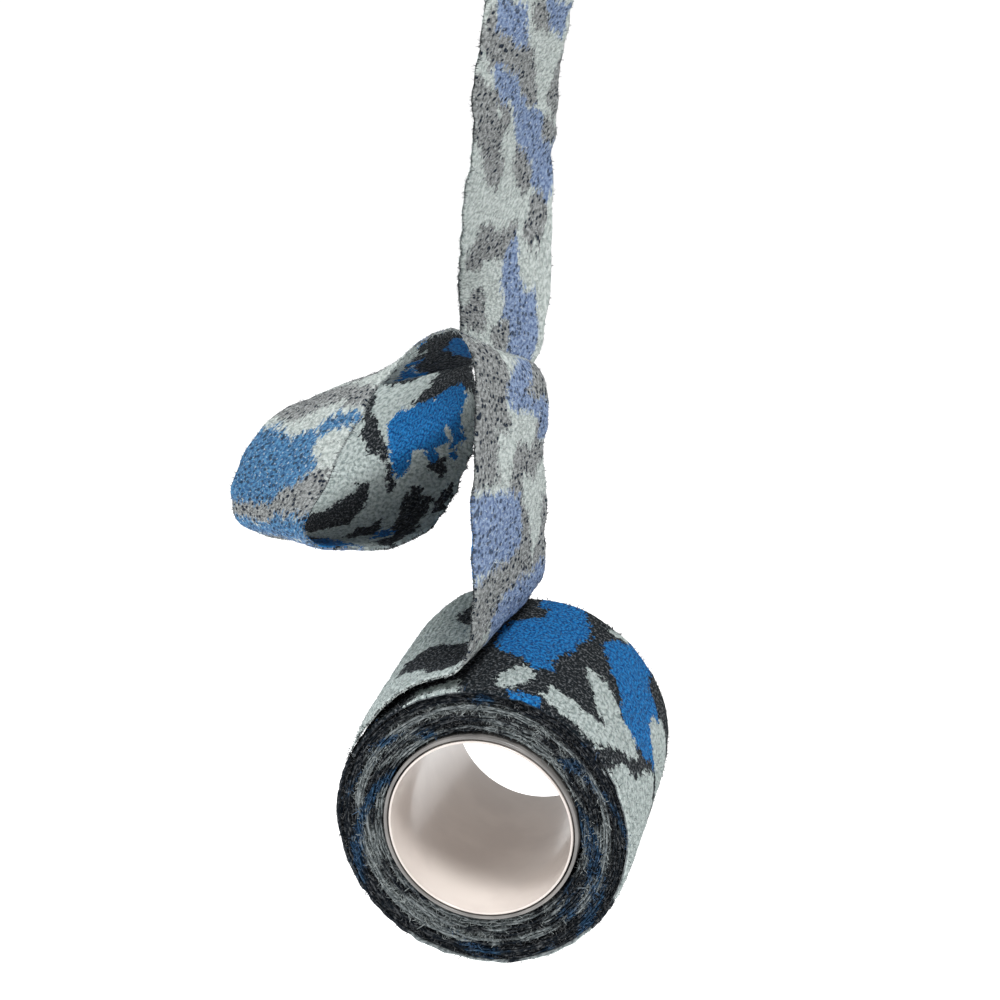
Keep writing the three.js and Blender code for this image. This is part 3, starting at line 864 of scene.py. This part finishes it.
def outer_turn():
    """The roll's last full turn, whose printed face shows; it dips under its own lifted end."""
    steps = round(OUTER_SPAN * ROLL_RADIUS / GRID)
    angle = LIFT_ANGLE + np.linspace(0, OUTER_SPAN, steps + 1)
    v = across()
    angle_grid, v_grid = np.meshgrid(angle, v, indexing="ij")
    share = (angle_grid - angle[0]) / OUTER_SPAN
    s_grid = (angle_grid - math.tau) * ROLL_RADIUS
    edge = np.abs(v_grid / HALF) ** 6
    side = beyond_middle(v_grid)
    y = v_grid + edge * (0.4 * noise(s_grid / 1.9, side, 81) + 0.4 * noise(s_grid / 9, side, 82))
    droop = -0.4 * edge + 0.08 * noise(s_grid / 7, v_grid / 9, 83)
    radius = OUTER_TURN - 0.45 * share + droop + out_of_round(angle_grid)
    thick = half_thickness(v_grid, OUTER_THICKNESS)
    outside = ring_point(angle_grid, radius + thick + rib_relief(s_grid, v_grid, 91), y)
    inside = ring_point(angle_grid, radius - thick, y)
    fields = cloth_fields(s_grid, v_grid, roll_print)
    return closed_sheet("roll_outer_turn", inside, outside, fields, [EDGE, PRINTED], side_material=0)


def winding():
    """The hidden turns as one spiral sheet with uneven edges, which show at both ends."""
    total = TURNS * math.tau
    mean = (WINDING_INNER + WINDING_OUTER) / 2
    rows = round(total * mean / SPIRAL_STEP)
    angle = np.linspace(0, total, rows + 1)
    margin = np.array([0, 0.14, 0.45, 1.2, 3.0])
    v = np.concatenate([-HALF + margin, [0], (HALF - margin)[::-1]])
    angle_grid, v_grid = np.meshgrid(angle, v, indexing="ij")
    turn = angle_grid / math.tau
    s_grid = angle_grid * mean
    edge = np.clip((np.abs(v_grid) - HALF + 3) / 3, 0, 1)
    side = beyond_middle(v_grid)
    wander = 0.16 * noise(s_grid / 2.2, side, 101) + 0.10 * noise(s_grid / 9, side, 102)
    sag = out_of_round(angle_grid) * (turn / TURNS) ** 2
    radius = WINDING_INNER + PITCH * (turn + 0.5) + edge * wander + sag
    ragged = 0.42 * noise(s_grid / 1.3, side, 103) + 0.35 * noise(s_grid / 14, side, 104)
    groove = np.zeros_like(turn)
    for middle, depth in GROOVES:
        groove += depth * np.exp(-((turn - middle) / 0.6) ** 2)
    inset = 0.35 + groove + 0.9 * np.clip((turn - TURNS + 3) / 3, 0, 1) ** 2
    y = v_grid + np.sign(v_grid) * edge**4 * (ragged - inset)
    rounding = np.clip((np.abs(v_grid) - HALF + 0.35) / 0.35, 0, 1)
    thick = PITCH * 0.42 * np.sqrt(1 - 0.9 * rounding**2)
    outside = ring_point(angle_grid, radius + thick, y)
    inside = ring_point(angle_grid, radius - thick, y)
    fields = winding_fields(angle_grid, turn, v_grid)
    sheet = closed_sheet("roll_winding", inside, outside, fields, [EDGE, EDGE])
    return sheet, total * mean


def winding_fields(angle, turn, v):
    """Colours of the layers: charcoal outside, a pale ring, then patches, with navy arcs here and there."""
    side = beyond_middle(v, 9.0)
    x, z = np.cos(angle) * 4, np.sin(angle) * 4
    patches = noise(x + 40 + turn * 0.25, z + 60 + side, 111)
    small = noise(x * 2.6 + 40, z * 2.6 + turn * 0.7 + 60 + side, 112)
    outer = 3.2 * np.clip((turn - 13) / 3, 0, 1)
    pale_ring = 4.2 * np.exp(-((turn - 10.8) / 1.5) ** 2) + 2.2 * np.exp(-((turn - 1.5) / 1.3) ** 2)
    charcoal = 3.6 * patches + 2.4 * small + 0.7 + outer - pale_ring
    blue = 4.5 * noise(x + 90, z + 30 + turn * 0.2 + side, 113) + 2.0 * small - 3.0
    cloth = np.stack([angle * 24, v, turn], axis=-1).reshape(-1, 3)
    ink = np.full(turn.size, 0.5)
    return {"cloth": cloth, "blue": blue.ravel(), "charcoal": charcoal.ravel(), "ink": ink}


def end_fuzz():
    """Curly fibres that stand out of both ends of the roll."""
    random = np.random.default_rng(121)
    front, back = 9000, 4500
    count = front + back
    turn = random.uniform(0.2, TURNS + 1.2, count)
    angle = random.uniform(0, math.tau, count)
    side = np.where(np.arange(count) < front, -1.0, 1.0)
    roots = ring_point(angle, WINDING_INNER + PITCH * (turn + 0.5), side * (HALF - 0.9))
    lean = random.normal(0, 0.8, (count, 3))
    directions = lean + np.stack([np.zeros_like(side), side, np.zeros_like(side)], axis=-1)
    lengths = random.uniform(0.5, 1.0, count)
    lengths = lengths * np.where(random.uniform(0, 1, count) > 0.97, 1.8, 1)
    fields = winding_fields(angle, turn, side * HALF)
    return fibres("roll_end_fuzz", roots, directions, lengths, 0.12, 122, fields, FUZZ)


def face_fuzz():
    """Short fibres off the roll's printed face, but none where the lifted strip covers it."""
    random = np.random.default_rng(131)
    count = 9000
    angle = random.uniform(0, math.tau, count)
    v = random.uniform(-HALF + 0.2, HALF - 0.2, count)
    shown = (angle < COVERED[0]) | (angle > COVERED[1])
    angle, v = angle[shown], v[shown]
    share = ((angle - LIFT_ANGLE) % math.tau) / math.tau
    radius = OUTER_TURN - 0.45 * share + out_of_round(angle) + 0.2
    roots = ring_point(angle, radius, v)
    directions = ring_point(angle, 1.0, 0 * v) + random.normal(0, 0.6, roots.shape)
    s = np.where(angle > FUZZ_SEAM, angle - math.tau, angle) * ROLL_RADIUS
    fields = cloth_fields(s, v, roll_print)
    lengths = random.uniform(0.3, 0.6, len(v))
    passes_under = (angle > PASSES_UNDER[0]) & (angle < PASSES_UNDER[1])
    lengths = np.where(passes_under, 0.2 * lengths, lengths)
    return fibres("roll_face_fuzz", roots, directions, lengths, 0.06, 132, fields, FUZZ)


def turned(name, profile, material, steps=180):
    """A ring turned about the roll's axis from a closed profile of (radius, y) corners."""
    profile = np.asarray(profile, float)
    angle = np.linspace(0, math.tau, steps, endpoint=False)
    rings = ring_point(angle[:, None] + 0 * profile[:, 0], profile[None, :, 0] + 0 * angle[:, None],
                       profile[None, :, 1] + 0 * angle[:, None])
    corners = len(profile)
    index = np.arange(steps * corners).reshape(steps, corners)
    onward = np.roll(index, -1, axis=0)
    faces = np.stack([index, np.roll(index, -1, axis=1), np.roll(onward, -1, axis=1), onward], axis=-1)
    return make_mesh(name, rings.reshape(-1, 3), faces.reshape(-1, 4), [material])


def lipped_profile(inner, outer, half_length, lip):
    """A tube's wall with its ends rounded over."""
    middle = (inner + outer) / 2
    profile = []
    for side in (-1, 1):
        for degrees in range(0, 181, 20):
            angle = math.radians(degrees)
            radius = middle - side * math.cos(angle) * (outer - inner) / 2
            profile.append((radius, side * (half_length - lip + lip * math.sin(angle))))
    return profile


def core():
    """The plastic core: an outer tube and a glossy liner, both just proud of the cloth."""
    parts = []
    for name, inner, outer, material in (
        ("core_sleeve", CORE_INNER, CORE_OUTER, TUBE),
        ("core_bore_liner", BORE_RADIUS, LINER_OUTER, LINER),
    ):
        profile = lipped_profile(inner, outer, CORE_LENGTH / 2, 0.25)
        parts.append(turned(name, profile[::-1], material))
    return parts


def build_roll():
    """The roll's pieces, all on the roll's body; the tape keeps its CAD shape."""
    outer = outer_turn()
    wound, wound_length = winding()
    ends = end_fuzz()
    nap = face_fuzz()
    sleeve, liner = core()
    for piece in (outer, wound, ends, nap, sleeve, liner):
        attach(piece, "roll")
    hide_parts("outermost_turn")
    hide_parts("outer_turns", "middle_turns", "inner_turns")
    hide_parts("core_tube")
    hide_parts("core_liner")
    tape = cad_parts["start_tape"]
    tape.data.materials.clear()
    tape.data.materials.append(ADHESIVE)


# ---- Camera, floor and light ----

def add_camera():
    """The camera in front, a little to the right and above, looking slightly down."""
    camera = bpy.data.objects.new("camera", bpy.data.cameras.new("camera"))
    bpy.context.scene.collection.objects.link(camera)
    camera.data.lens = 72
    camera.data.sensor_width = 36
    camera.data.clip_start = 0.01
    forward = Vector((-0.2097, 0.9341, -0.2890)).normalized()
    right = forward.cross(Vector((0, 0, 1))).normalized()
    up = right.cross(forward)
    turn = Matrix((right, up, -forward)).transposed()
    camera.matrix_world = Matrix.Translation(Vector(in_frame(76, -347.3, 162.3))) @ turn.to_4x4()
    bpy.context.scene.camera = camera


def add_floor():
    mesh = bpy.data.meshes.new("floor")
    reach = 14.0
    drop = cad_low.z - 0.12
    corners = [(x * reach, y * reach, drop) for x, y in ((-1, -1), (1, -1), (1, 1), (-1, 1))]
    mesh.from_pydata(corners, [], [(0, 1, 2, 3)])
    floor = bpy.data.objects.new("floor", mesh)
    bpy.context.scene.collection.objects.link(floor)
    graph = Graph("pale_floor", 0.9, 0.0)
    graph.surface.inputs["Base Color"].default_value = (0.9, 0.9, 0.9, 1)
    graph.surface.inputs["Emission Color"].default_value = (1, 1, 1, 1)
    graph.surface.inputs["Emission Strength"].default_value = 0.7
    floor.data.materials.append(graph.material)


def add_light(name, place, size, power):
    light = bpy.data.objects.new(name, bpy.data.lights.new(name, "AREA"))
    light.data.size = size
    light.data.energy = power
    target = Vector(in_frame(-10, 10, 40))
    light.location = place
    light.rotation_euler = (target - light.location).to_track_quat("-Z", "Y").to_euler()
    bpy.context.scene.collection.objects.link(light)


def light_the_studio():
    world = bpy.data.worlds.new("studio")
    world.use_nodes = True
    background = world.node_tree.nodes["Background"]
    background.inputs["Color"].default_value = (1, 1, 1, 1)
    background.inputs["Strength"].default_value = 0.40
    bpy.context.scene.world = world
    add_light("key", (0.30, -0.38, 0.85), 0.3, 10)
    add_light("fill", (-0.65, -0.45, 0.45), 0.8, 4.5)
    bpy.context.scene.view_settings.view_transform = "Standard"


add_camera()
add_floor()
light_the_studio()
tail_in_lengths()
build_roll()
